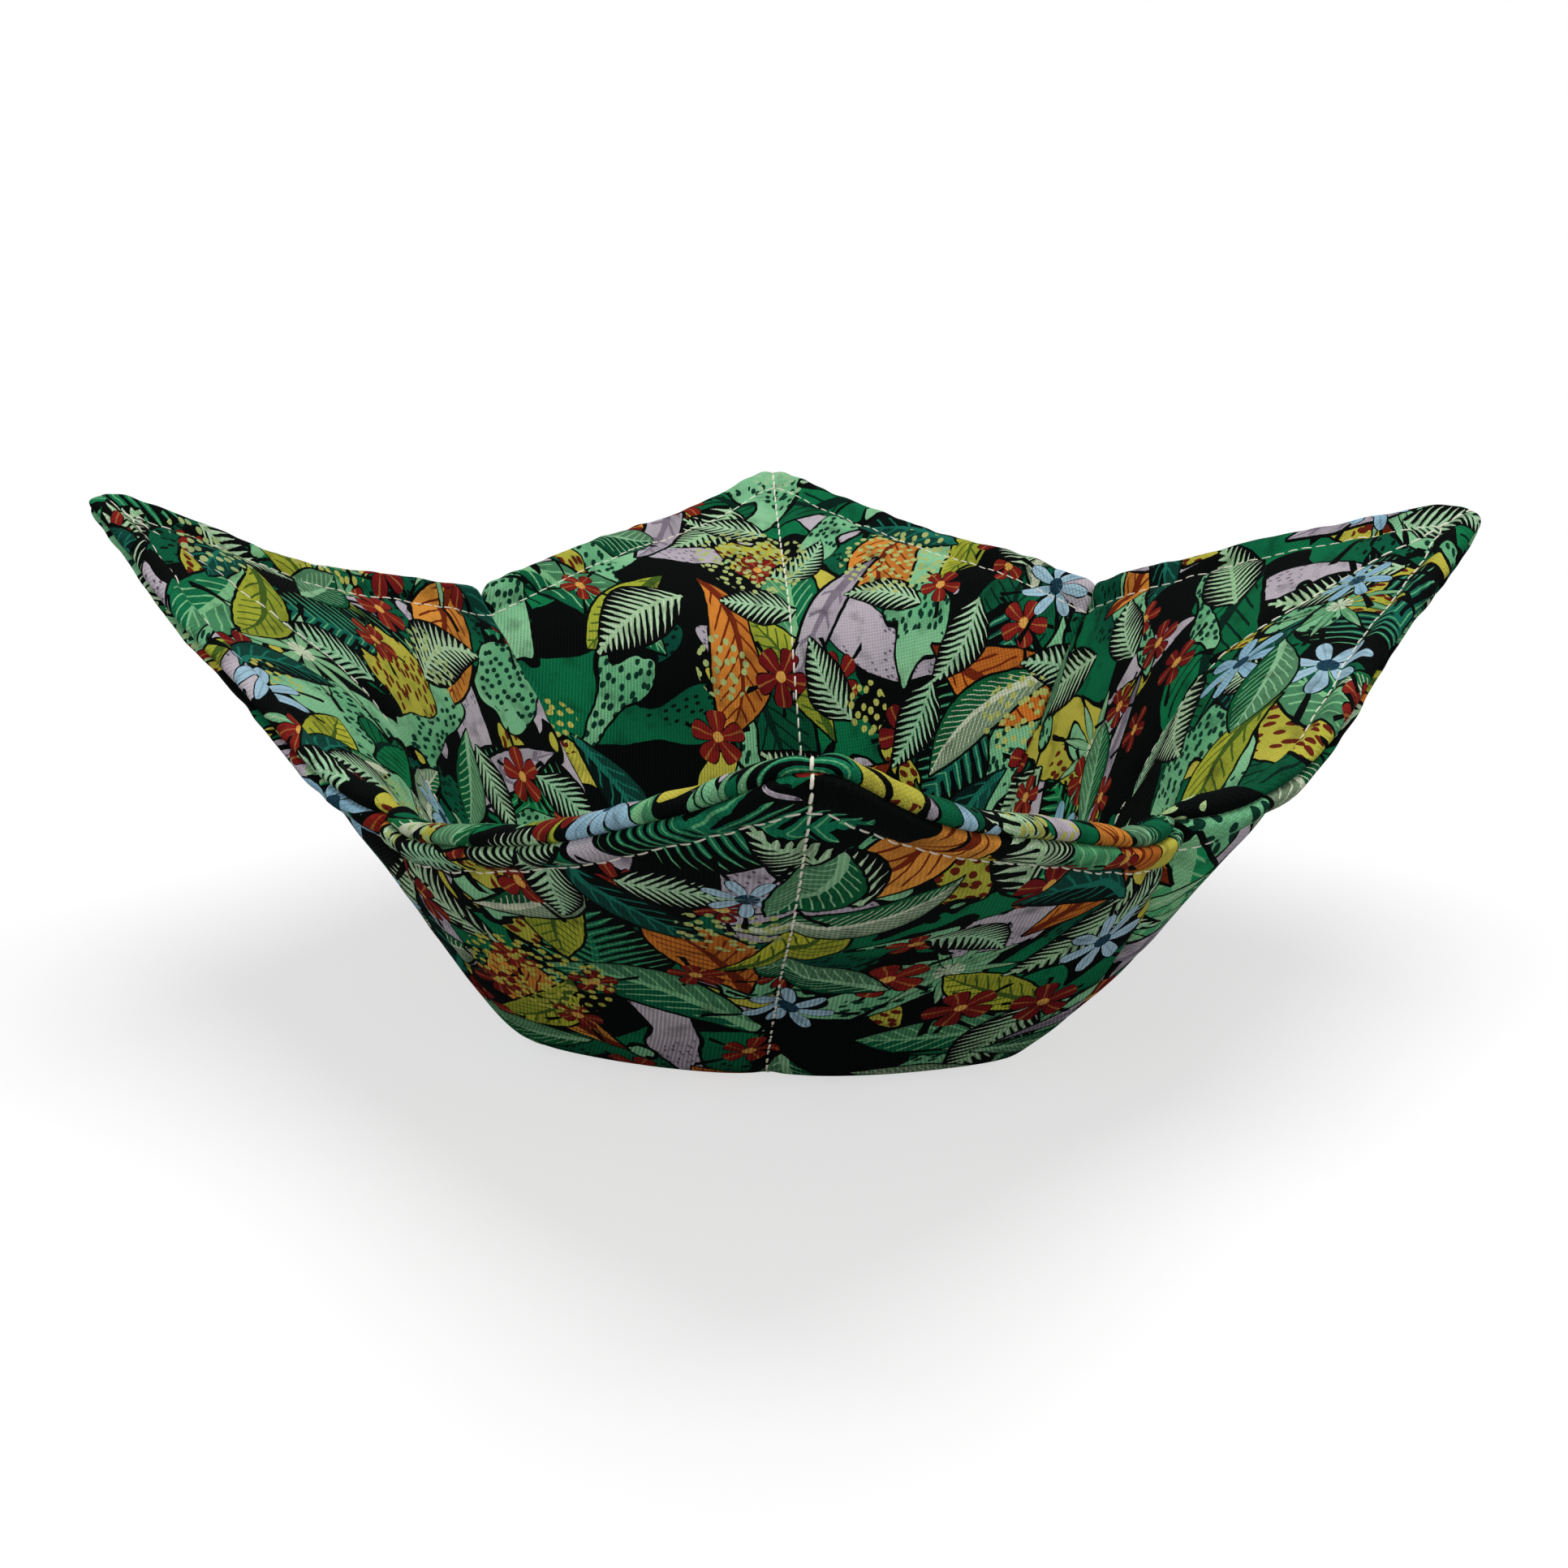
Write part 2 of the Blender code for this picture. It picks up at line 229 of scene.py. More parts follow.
# Each fold has its direction in degrees, its depth in metres and its width in degrees.
PINCHES = (
    (-45, 0.0009, 0.9),
    (-38.5, 0.0007, 0.8),
    (-135, 0.0007, 1.0),
    (-143, 0.0004, 1.0),
    (45, 0.0008, 0.9),
    (135, 0.0008, 0.9),
    (52, 0.0005, 1.0),
    (-60, 0.0004, 1.2),
    (-112, 0.0003, 1.3),
)
print(len(PINCHES), "folds across the rim")


# %% Height of a face of the quilt above its middle surface
def valley(distance, width):
    """1 on a line of stitches, and next to nothing two widths away."""
    return np.exp(-((np.abs(distance) / width) ** 1.3))


def dart_narrowing(travelled):
    """Degrees that half a dart takes up at a distance from the centre: none up to its tip."""
    beyond = np.maximum(travelled - (HALF_SIDE - DART_LENGTH), 0)
    return np.degrees(np.arctan2(DART_HALF_WIDTH * beyond / DART_LENGTH, np.maximum(travelled, 1e-9)))


def rim_height(direction, hem, side):
    """What the band between the rim and the stitching beside it adds. It swells at the front, most
    where the seam's spare cloth is packed into the point, is pressed thin on the other flaps, and
    folds sharply at the darts and beside them."""
    inwards = hem + TOPSTITCH_INSET
    band = np.exp(-(((inwards - 0.0006) / 0.0024) ** 2))
    off_front = np.abs(from_front(direction))
    packed = np.exp(-((off_front / 5) ** 2))
    height = 0.0002 + (0.0005 if side > 0 else 0) * packed
    for place, depth, width in PINCHES:
        off = np.abs((direction - place + 180) % 360 - 180)
        fold = np.exp(-((off / width) ** 1.5))
        puff = np.exp(-(((off - 2.6 * width) / (1.5 * width)) ** 2))
        height = height - depth * fold + 0.3 * depth * puff
    pressed = PRESSED * ease((off_front - 48) / 16) * ease(1 - inwards / 0.020)
    return band * height - pressed


def loft(p, q, side):
    """Thickness from the middle surface to a face. The pinches of the lines join as chances do:
    one less the product of what each leaves."""
    direction, share = spot_on_cloth(p, q)
    travelled = reach_to_rim(direction) * share
    away = np.abs(from_point(direction))
    cross = travelled * np.sin(np.radians(away))
    hem = HALF_SIDE * (1 - share) - TOPSTITCH_INSET
    dart = travelled * np.sin(np.radians(45 - away))
    open_dart = ease((travelled - 0.066) / 0.030)
    on_table = 0.6 * (1 - ease((travelled - 0.045) / 0.025)) if side > 0 else 0
    left = (1 - valley(cross, CROSS_VALLEY) * (1 - on_table)) * (1 - valley(hem, HEM_VALLEY))
    left *= 1 - 0.9 * valley(dart, DART_VALLEY) * open_dart
    near = valley(cross, 0.006) + valley(hem, 0.006) + valley(dart, 0.008) * open_dart
    puckers = PUCKER * ripples(p, q, 0.075, 11 + side) * np.minimum(near, 1)
    swell = SWELL * (1 - valley(np.minimum(cross, np.abs(hem)), 0.016))
    return HALF_THICKNESS - PULLED_IN * (1 - left) + swell + rim_height(direction, hem, side) + puckers


# %% The rows of the grid, closer together towards the corners
STEPS = 112
even = np.linspace(-1, 1, 2 * STEPS + 1)
ROWS = 0.55 * even + 0.45 * np.sin(even * math.pi / 2)
P, Q = np.meshgrid(ROWS, ROWS, indexing="ij")
MIDDLE, OUTWARDS = cloth_frame(P, Q)
row_gaps = np.diff(ROWS) * HALF_SIDE * 1000
print(f"{P.size} places on the cloth, {row_gaps.min():.2f} to {row_gaps.max():.2f} mm apart")


def rim_of(grid):
    """The edge of a square grid, anticlockwise from the right point."""
    return np.concatenate([grid[-1, :-1], grid[::-1, -1][:-1], grid[0, ::-1][:-1], grid[:-1, 0]])


# %% [markdown]
# ## The rolled rim
#
# At the rim the two cottons are sewn together inside and turned, so the edge is a soft roll. The
# lining comes over the top of it and meets the outer cotton on the outer side, about 3 mm down, in
# a deep narrow crease. A round profile could be swept along the rim, but it would have to be fitted
# to both faces. Here the roll is a half circle round the edge of the middle surface, whose radius
# is the faces' own thickness, pinched at the crease and at the darts.

# %% The round of the rim
SEAM_ANGLE = 125
edge = rim_of(MIDDLE)
edge_out = rim_of(OUTWARDS)
tangent = np.roll(edge, -1, 0) - np.roll(edge, 1, 0)
edge_off = np.cross(edge_out, tangent)
edge_off /= np.linalg.norm(edge_off, axis=1)[:, None]
edge_off *= np.sign((edge_off * (edge - edge.mean(0))).sum(1))[:, None]
along_rim = np.append(0, np.cumsum(np.linalg.norm(np.diff(edge, axis=0), axis=1)))
print(f"the rim is {along_rim[-1] * 1000:.0f} mm long")


def roll(angles, side):
    """Rings round the edge, 0 degrees on the inner face and 180 on the outer one, and the
    directions out of them. The radius is the face's own loft, less a notch at the seam, where it
    becomes the mean of the two faces' lofts."""
    angles = np.asarray(angles, float)[:, None]
    near_seam = np.exp(-((np.abs(angles - SEAM_ANGLE) / 14) ** 1.4))
    twist = 0.00020 * ripples(along_rim[None], angles * 0.00006, 0.008, 21) * np.sin(np.radians(angles))
    own = rim_of(loft(P, Q, side))
    other = rim_of(loft(P, Q, -side))
    radius = (own + (other - own) * 0.5 * near_seam) * (1 - 0.55 * near_seam) + twist
    turn = np.radians(angles)[..., None]
    around = np.sin(turn) * edge_off - np.cos(turn) * edge_out
    return edge + radius[..., None] * around, around


# %% [markdown]
# ## The two sheets
#
# Each sheet is the square grid lifted to its face of the quilt, with the rings of the roll added
# round it. Its UV map is the flat square it was cut from, in metres, so the print lies on it as on
# the bolt: it jumps at each dart, where a wedge of cloth is folded away, as on the real one.


# %% A mesh from arrays, and the flat place of each corner of each face
def mesh_piece(name, points, faces, uv=None):
    """Puts arrays of points and four-sided faces into a mesh, smooth shaded."""
    mesh = bpy.data.meshes.new(name)
    mesh.from_pydata(points.reshape(-1, 3), [], faces.reshape(-1, 4))
    mesh.shade_smooth()
    if uv is not None:
        layer = mesh.uv_layers.new(name="flat_cloth")
        layer.uv.foreach_set("vector", uv.astype(np.float32).ravel())
    piece = bpy.data.objects.new(name, mesh)
    bpy.context.scene.collection.objects.link(piece)
    return piece


def flat_places(direction, travelled, faces):
    """UV of every corner of every face: its distance from the centre, at its angle on the flat
    square, counted from the point that its face belongs to, so the print jumps at a dart."""
    angle = direction[faces]
    first = angle[:, :1]
    angle = first + (angle - first + 180) % 360 - 180
    far = travelled[faces] > 1e-6
    centre = (angle * far).sum(1) / np.maximum(far.sum(1), 1)
    point = np.round(centre / 90)[:, None] * 90
    away = (angle - point) * (45 - dart_narrowing(travelled[faces])) / 45
    flat = np.radians(point + away)
    return np.stack([travelled[faces] * np.cos(flat), travelled[faces] * np.sin(flat)], -1)


def cotton_sheet(name, side, angles):
    """Side is 1 for the outer face and -1 for the lining. The outer one rests on the table, so
    its underside is pressed flat there."""
    face = MIDDLE + side * OUTWARDS * loft(P, Q, side)[..., None]
    face[..., 2] = np.maximum(face[..., 2], 0)
    rings, around = roll(angles, side)
    points = np.concatenate([face.reshape(-1, 3), rings.reshape(-1, 3)])
    number = np.arange(P.size).reshape(P.shape)
    grid = np.stack([number[:-1, :-1], number[1:, :-1], number[1:, 1:], number[:-1, 1:]], -1)
    loops = [rim_of(number)]
    for ring in range(len(angles)):
        loops.append(P.size + ring * len(edge) + np.arange(len(edge)))
    loops = np.array(loops)
    after = np.roll(loops, -1, 1)
    band = np.stack([loops[:-1], loops[1:], after[1:], after[:-1]], -1)
    faces = np.concatenate([grid.reshape(-1, 4), band.reshape(-1, 4)])
    direction, share = spot_on_cloth(P.ravel(), Q.ravel())
    travelled = reach_to_rim(direction) * share
    start = 0 if side < 0 else 180
    rolled = np.radians(np.abs(np.asarray(angles) - start))[:, None] * HALF_THICKNESS
    direction = np.append(direction, np.tile(direction[rim_of(number)], len(angles)))
    travelled = np.append(travelled, (travelled[rim_of(number)] + rolled).ravel())
    if side > 0:
        faces = faces[:, ::-1]
    return mesh_piece(name, points, faces, flat_places(direction, travelled, faces)), rings, around


lining_angles = np.linspace(0, SEAM_ANGLE - 1, 17)[1:]
outer_angles = np.linspace(180, SEAM_ANGLE + 1, 9)[1:]
lining, lining_rings, lining_around = cotton_sheet("lining_sheet", -1, lining_angles)
outer, outer_rings, outer_around = cotton_sheet("outer_sheet", 1, outer_angles)
for sheet, node in ((lining, "inner_lining"), (outer, "outer_cover")):
    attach(sheet, "root")
    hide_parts(node)
    print(sheet.name, len(sheet.data.polygons), "faces")

# %% [markdown]
# ## The wadding
#
# Under each cotton lies a sheet of needled cotton wadding, about 2 mm thick. It hardly shows, but
# it is what makes the quilt puff. Each is a closed pad between the middle surface and the cotton,
# on a coarser grid, and everywhere a little thinner than the space it fills.


# %% Two closed pads that follow the loft
def wadding_pad(name, side):
    """Two faces of a square grid, one beside the middle surface and one under the cotton, joined
    by a wall round the rim."""
    even = np.linspace(-1, 1, 97)
    p, q = np.meshgrid(even, even, indexing="ij")
    middle, outwards = cloth_frame(p, q)
    near = middle + side * 0.00015 * outwards
    far = middle + side * outwards * (loft(p, q, side) - 0.0007)[..., None]
    far[..., 2] = np.maximum(far[..., 2], 0.0004)
    number = np.arange(p.size).reshape(p.shape)
    grid = np.stack([number[:-1, :-1], number[1:, :-1], number[1:, 1:], number[:-1, 1:]], -1).reshape(-1, 4)
    rim = rim_of(number)
    after = np.roll(rim, -1)
    wall = np.stack([rim, after, after + p.size, rim + p.size], -1)
    faces = np.concatenate([grid, grid[:, ::-1] + p.size, wall[:, ::-1]])
    if side < 0:
        faces = faces[:, ::-1]
    return mesh_piece(name, np.stack([near, far]), faces)


outer_pad = wadding_pad("outer_wadding_pad", 1)
lining_pad = wadding_pad("lining_wadding_pad", -1)
for pad, node in ((outer_pad, "outer_batting"), (lining_pad, "lining_batting")):
    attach(pad, "root")
    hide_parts(node)
    print(pad.name, len(pad.data.polygons), "faces")

# %% [markdown]
# ## The stitches
#
# A sewing machine leaves a row of short straight stitches, each diving into the cloth at both ends.
# A long tube with a dashed texture would look flat, so every stitch is a little closed body of 34
# faces, and a whole row is worked out as one array.

# %% Pitch and thickness of the stitches, in metres
CROSS_STITCH = (0.0031, 0.00042)
HEM_STITCH = (0.0029, 0.00031)
print(f"{1 / CROSS_STITCH[0] / 100:.1f} and {1 / HEM_STITCH[0] / 100:.1f} stitches to the centimetre")


# %% A row of stitches along a path
def stitch_row(path, lift, pitch, thickness, heavy_ends):
    """Cuts the path into equal pitches. In each, six rings of six points follow the path for four
    fifths of the pitch, a little aslant, high in the middle and sunk at the ends. The table presses
    those under the base flat."""
    length = np.append(0, np.cumsum(np.linalg.norm(np.diff(path, axis=0), axis=1)))
    count = int(length[-1] / pitch)
    place = np.array([0.10, 0.18, 0.36, 0.64, 0.82, 0.90])
    height = np.array([-0.55, 0.25, 0.55, 0.55, 0.25, -0.55]) * thickness / 2
    size = np.array([0.6, 1, 1.05, 1.05, 1, 0.6]) * thickness / 2
    s = (np.arange(count)[:, None] + place) * length[-1] / count
    centre = np.stack([np.interp(s, length, path[:, axis]) for axis in range(3)], -1)
    up = np.stack([np.interp(s, length, lift[:, axis]) for axis in range(3)], -1)
    up /= np.linalg.norm(up, axis=-1)[..., None]
    along = (centre[:, -1] - centre[:, 0])[:, None] + 0 * centre
    across = np.cross(along, up)
    across /= np.linalg.norm(across, axis=-1)[..., None]
    slant = np.linspace(-0.3, 0.3, 6)[:, None] * thickness
    centre = centre + up * height[:, None] + across * slant
    if heavy_ends:
        size = size * (1 + 0.25 * ease((0.009 - np.minimum(s, length[-1] - s)) / 0.002))
    turn = np.arange(6) * math.pi / 3
    ring = np.cos(turn)[:, None] * across[..., None, :] + np.sin(turn)[:, None] * up[..., None, :]
    stitches = centre[..., None, :] + ring * (size + 0 * s)[..., None, None]
    stitches[..., 2] = np.maximum(stitches[..., 2], 0)
    return stitches


def stitch_piece(name, rows, node):
    """Joins rows of stitches into one piece: side faces between the rings, and two faces to close
    each end."""
    points = np.concatenate(rows)
    number = np.arange(points.size // 3).reshape(points.shape[:-1])
    after = np.roll(number, -1, -1)
    sides = np.stack([number[:, :-1], after[:, :-1], after[:, 1:], number[:, 1:]], -1)
    start, end = number[:, 0, ::-1], number[:, -1]
    caps = [ends[:, corners] for ends in (start, end) for corners in ([0, 1, 2, 3], [0, 3, 4, 5])]
    faces = np.concatenate([sides.reshape(-1, 4), *caps])
    piece = mesh_piece(name, points, faces)
    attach(piece, "root")
    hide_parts(node)
    print(name, len(points), "stitches")
    return piece


def face_path(p, q, side):
    """Points on a face of the quilt, and the directions out of it."""
    middle, outwards = cloth_frame(p, q)
    points = middle + side * outwards * loft(p, q, side)[..., None]
    points[..., 2] = np.maximum(points[..., 2], 0)
    return points, side * outwards


def cross_rows(side, rings, around):
    """The two diagonals of the square, from the seam at one point over the middle to the seam at
    the opposite point."""
    t = np.linspace(-1, 1, 601)
    rows = []
    for first, q in ((0, -t), (1, t)):
        points, up = face_path(t, q, side)
        quarter = len(edge) // 4
        head, tail = ((first + 2) * quarter, first * quarter)
        path = np.concatenate([rings[::-1, head], points, rings[:, tail]])
        lift = np.concatenate([around[::-1, head], up, around[:, tail]])
        rows.append(stitch_row(path, lift, *CROSS_STITCH, heavy_ends=True))
    return rows


def hem_row(side):
    """Once round the cozy, beside the rim."""
    share = 1 - TOPSTITCH_INSET / HALF_SIDE
    points, up = face_path(rim_of(P) * share, rim_of(Q) * share, side)
    closed = np.append(np.arange(len(points)), 0)
    return [stitch_row(points[closed], up[closed], *HEM_STITCH, heavy_ends=False)]


outer_cross_rows = cross_rows(1, outer_rings, outer_around)
lining_cross_rows = cross_rows(-1, lining_rings, lining_around)
outer_cross = stitch_piece("outer_cross_stitches", outer_cross_rows, "outer_quilting_thread")
lining_cross = stitch_piece("lining_cross_stitches", lining_cross_rows, "lining_quilting_thread")
outer_hem = stitch_piece("outer_rim_stitches", hem_row(1), "outer_rim_topstitch")
lining_hem = stitch_piece("lining_rim_stitches", hem_row(-1), "lining_rim_topstitch")

# %% [markdown]
# ## The cloth's size
#
# Each sheet was cut 254 mm square. The seams take about 7 mm all round and the four darts a wedge
# each, which leaves the area that shows.

# %% [markdown]
# ## Writing shader maths
#
# Motifs for a print are formulas: a leaf is where the distance from a bent line is less than a
# width. Wiring those by hand takes dozens of Math nodes, so a small helper lets a formula be
# written as one. Each arithmetic sign adds one node.


# %% A socket that can be added, multiplied and compared
class Wire:
    """One output socket of a node tree, with arithmetic signs of its own."""

    def __init__(self, tree, socket):
        self.tree = tree
        self.socket = socket

    def maths(self, operation, *others):
        """Adds a Math node that works on this socket and the other values."""
        node = self.tree.nodes.new("ShaderNodeMath")
        node.operation = operation
        for value, socket in zip((self, *others), node.inputs):
            plug(self.tree, value, socket)
        return Wire(self.tree, node.outputs[0])

    def __add__(self, other):
        return self.maths("ADD", other)

    def __sub__(self, other):
        return self.maths("SUBTRACT", other)

    def __mul__(self, other):
        return self.maths("MULTIPLY", other)

    def __truediv__(self, other):
        return self.maths("DIVIDE", other)

    def __lt__(self, other):
        return self.maths("LESS_THAN", other)

    def __gt__(self, other):
        return self.maths("GREATER_THAN", other)


def plug(tree, value, socket):
    """A wire is linked to the socket, and a plain number or colour is set on it."""
    if isinstance(value, Wire):
        tree.links.new(value.socket, socket)
    else:
        socket.default_value = value


def node_of(tree, kind, output, settings=None, **values):
    """Adds a node, sets its settings, fills its inputs by name and returns one of its outputs."""
    node = tree.nodes.new(kind)
    for name, setting in (settings or {}).items():
        setattr(node, name, setting)
    for name, value in values.items():
        plug(tree, value, node.inputs[name])
    return Wire(tree, node.outputs[output])


def vector_maths(tree, operation, *values):
    """Adds a Vector Math node that works on the values, and returns its vector."""
    node = tree.nodes.new("ShaderNodeVectorMath")
    node.operation = operation
    for value, socket in zip(values, node.inputs):
        plug(tree, value, socket)
    return Wire(tree, node.outputs[0])


def parts(tree, wire):
    """The three parts of a vector or a colour."""
    node = tree.nodes.new("ShaderNodeSeparateXYZ")
    tree.links.new(wire.socket, node.inputs[0])
    return [Wire(tree, output) for output in node.outputs]


def turned_place(tree, place, angle):
    """A place on the flat cloth, turned about its middle."""
    return node_of(tree, "ShaderNodeVectorRotate", 0, {"rotation_type": "Z_AXIS"}, Vector=place, Angle=angle)


# %% Helpers for colours, groups and materials
def blend(tree, share, under, over):
    """Lays one colour over another where share is 1."""
    node = tree.nodes.new("ShaderNodeMix")
    node.data_type = "RGBA"
    plug(tree, share, node.inputs["Factor"])
    plug(tree, under, node.inputs[6])
    plug(tree, over, node.inputs[7])
    return Wire(tree, node.outputs[2])


def new_group(name, inputs, outputs):
    """A node group with named sockets, and its inputs as wires."""
    tree = bpy.data.node_groups.new(name, "ShaderNodeTree")
    for socket, (kind, value) in inputs.items():
        made = tree.interface.new_socket(socket, in_out="INPUT", socket_type="NodeSocket" + kind)
        if value is not None:
            made.default_value = value
    for socket, kind in outputs.items():
        tree.interface.new_socket(socket, in_out="OUTPUT", socket_type="NodeSocket" + kind)
    entry = tree.nodes.new("NodeGroupInput")
    return tree, {socket: Wire(tree, entry.outputs[socket]) for socket in inputs}


def close_group(tree, **outputs):
    """Feeds the group's outputs, and returns the finished group."""
    exit_node = tree.nodes.new("NodeGroupOutput")
    for name, value in outputs.items():
        plug(tree, value, exit_node.inputs[name.replace("_", " ")])
    print(f"group {tree.name}: {len(tree.nodes)} nodes")
    return tree


def group_node(tree, group, output, **values):
    """Places a group in a tree, with its own values."""
    node = tree.nodes.new("ShaderNodeGroup")
    node.node_tree = group
    for name, value in values.items():
        plug(tree, value, node.inputs[name.replace("_", " ")])
    return Wire(tree, node.outputs[output])


def new_material(name):
    """A material with nodes, its tree and its shader."""
    material = bpy.data.materials.new(name)
    material.use_nodes = True
    return material, material.node_tree, material.node_tree.nodes["Principled BSDF"]


def relief(tree, shader, height, strength, distance):
    """Shades the surface as if it rose by height times distance."""
    bump = tree.nodes.new("ShaderNodeBump")
    bump.inputs["Strength"].default_value = strength
    bump.inputs["Distance"].default_value = distance
    plug(tree, height, bump.inputs["Height"])
    tree.links.new(bump.outputs[0], shader.inputs["Normal"])


def ink(code):
    """A printed colour from its six-figure screen code, as the linear colour that Blender takes."""
    value = np.array([int(code[i:i + 2], 16) for i in (0, 2, 4)]) / 255
    linear = np.where(value <= 0.04045, value / 12.92, ((value + 0.055) / 1.055) ** 2.4)
    return (*linear.tolist(), 1)


# %% [markdown]
# ## A leafy print
#
# The cotton carries a dense print of foliage on near black. It is made here as a generic one, from
# a few motifs laid over each other at many sizes: leaf, frond, rosette, berry and patch. A painted
# picture could be mapped on instead, but a formula needs no file and stays sharp close up. Each
# motif's group divides the flat cloth into tilted square cells, puts one motif in each cell at a
# chance place and angle, and paints it over what lies under it. Only the patch knows no cells and
# follows a slow noise.


# %% Where a place of the cloth lies within the motif of its cell
def motif_cell(tree, wires):
    """Turns and scales the place, takes the whole part as the cell and the rest as the spot in it.
    White noise from the cell gives the motif's own shift, angle and tone."""
    tilted = turned_place(tree, wires["Place"], wires["Turn"])
    scaled = vector_maths(tree, "DIVIDE", tilted, wires["Size"])
    cell = vector_maths(tree, "FLOOR", scaled)
    spot_x, spot_y, _ = parts(tree, vector_maths(tree, "FRACTION", scaled))
    noise = node_of(tree, "ShaderNodeTexWhiteNoise", "Color", {"noise_dimensions": "4D"},
                    Vector=cell, W=wires["Seed"])
    again = node_of(tree, "ShaderNodeTexWhiteNoise", "Color", {"noise_dimensions": "4D"},
                    Vector=cell, W=wires["Seed"] + 37.7)
    shift_x, shift_y, heading = parts(tree, noise)
    tone, present, bend = parts(tree, again)
    x = (spot_x - 0.5) - (shift_x - 0.5) * 0.2
    y = (spot_y - 0.5) - (shift_y - 0.5) * 0.2
    angle = heading * (2 * math.pi)
    cosine, sine = angle.maths("COSINE"), angle.maths("SINE")
    along = (x * cosine + y * sine) * 2.4
    across = (y * cosine - x * sine) * 2.4
    return along, across, tone, present < wires["Amount"], (bend - 0.5) * 0.7


# %% The inputs that every motif has, and the dark line round it
INK_BLACK = ink("060a09")
OUTLINE = 0.035
MOTIF_INPUTS = {
    "Under": ("Color", None),
    "Place": ("Vector", None),
    "Size": ("Float", 0.03),
    "Turn": ("Float", 0),
    "Seed": ("Float", 0),
    "Amount": ("Float", 1),
    "Shape": ("Float", 0.4),
    "Count": ("Float", 6),
    "Colour": ("Color", None),
    "Other Colour": ("Color", None),
    "Vein Colour": ("Color", None),
}
print(len(MOTIF_INPUTS), "inputs to a motif")


# %% A leaf: a bent line with a width, a rib and slanting veins
def leaf_group():
    """The leaf is where the distance across is less than Shape * (1 - along squared), its veins
    are thin stripes of along less across, and one half is a tone lighter."""
    tree, wires = new_group("leaf_motif", MOTIF_INPUTS, {"Colour": "Color"})
    along, across, tone, present, bend = motif_cell(tree, wires)
    square = along * along
    bent = across + bend * (square - 0.3)
    off = bent.maths("ABSOLUTE")
    width = wires["Shape"] * (along * 0.35 + 1) * (square * -1 + 1)
    within = (off < width) * present * (square < 1)
    stripe = ((along - off * 1.3) * wires["Count"]).maths("FRACT")
    veins = (stripe < 0.2) * (off < width * 0.82)
    rib = off < (along * -1 + 1.2) * 0.03
    body = blend(tree, tone, wires["Colour"], wires["Other Colour"])
    shaded = blend(tree, (bent > 0) * 0.30, body, wires["Vein Colour"])
    veined = blend(tree, veins.maths("MAXIMUM", rib), shaded, wires["Vein Colour"])
    around = (off < width + OUTLINE) * (square < 1.05) * present
    outlined = blend(tree, around, wires["Under"], INK_BLACK)
    return close_group(tree, Colour=blend(tree, within, outlined, veined))


# %% A frond: a rib with slanting leaflets
def frond_group():
    """Leaflets are the stripes of along plus across that are wider than a share that grows
    outwards, so each narrows to its tip."""
    tree, wires = new_group("frond_motif", MOTIF_INPUTS, {"Colour": "Color"})
    along, across, tone, present, bend = motif_cell(tree, wires)
    square = along * along
    bent = across + bend * (square - 0.3)
    off = bent.maths("ABSOLUTE")
    width = wires["Shape"] * (along * -0.3 + 1) * (square * -1 + 1)
    outwards = off / width.maths("MAXIMUM", 0.001)
    stripe = (((along * -1 + off * 0.9) * wires["Count"]).maths("FRACT") - 0.5).maths("ABSOLUTE")
    leaflet = (stripe < (outwards * outwards * -1 + 1) * 0.34) * (off < width)
    rib = (off < 0.03) * (square < 0.95)
    within = leaflet.maths("MAXIMUM", rib) * present
    body = blend(tree, tone, wires["Colour"], wires["Other Colour"])
    lit = blend(tree, (stripe < 0.07) * 0.8, body, wires["Vein Colour"])
    around = (off < width + OUTLINE) * (square < 1) * present
    outlined = blend(tree, around, wires["Under"], INK_BLACK)
    return close_group(tree, Colour=blend(tree, within, outlined, lit))


# %% A rosette: blades or petals round a middle
def rosette_group():
    """Blades are where the angle within each of Count equal parts is less than what is left of
    the radius, raised to Shape: 1 gives pointed blades and 0.3 gives round petals."""
    tree, wires = new_group("rosette_motif", MOTIF_INPUTS, {"Colour": "Color"})
    along, across, tone, present, bend = motif_cell(tree, wires)
    radius = (along * along + across * across).maths("SQRT")
    angle = across.maths("ARCTAN2", along) / (2 * math.pi)
    part = ((angle * wires["Count"]).maths("FRACT") - 0.5).maths("ABSOLUTE")
    left = (radius * -1 + (bend * 0.5 + 0.85)).maths("MAXIMUM", 0)
    width = left.maths("POWER", wires["Shape"]) * 0.5
    blade = (part < width) * (left > 0) * present
    body = blend(tree, tone, wires["Colour"], wires["Other Colour"])
    lined = blend(tree, (part < 0.04) * 0.3, body, wires["Vein Colour"])
    middle = blend(tree, radius < 0.18, lined, wires["Vein Colour"])
    around = (part < width + OUTLINE * 1.5) * (left > -OUTLINE) * present
    outlined = blend(tree, around, wires["Under"], INK_BLACK)
    return close_group(tree, Colour=blend(tree, blade, outlined, middle))


# %% Berries: clusters of small round spots
def berry_group():
    """Cells of a fine Voronoi pattern whose centre is near, kept only within a round cluster."""
    tree, wires = new_group("berry_motif", MOTIF_INPUTS, {"Colour": "Color"})
    along, across, tone, present, bend = motif_cell(tree, wires)
    radius = (along * along + across * across).maths("SQRT")
    spots = node_of(tree, "ShaderNodeTexVoronoi", "Distance", {"voronoi_dimensions": "2D"},
                    Vector=wires["Place"], Scale=wires["Count"], Randomness=0.7)
    berry = (spots < wires["Shape"]) * (radius < bend + 0.7) * present
    body = blend(tree, tone, wires["Colour"], wires["Other Colour"])
    return close_group(tree, Colour=blend(tree, berry, wires["Under"], body))


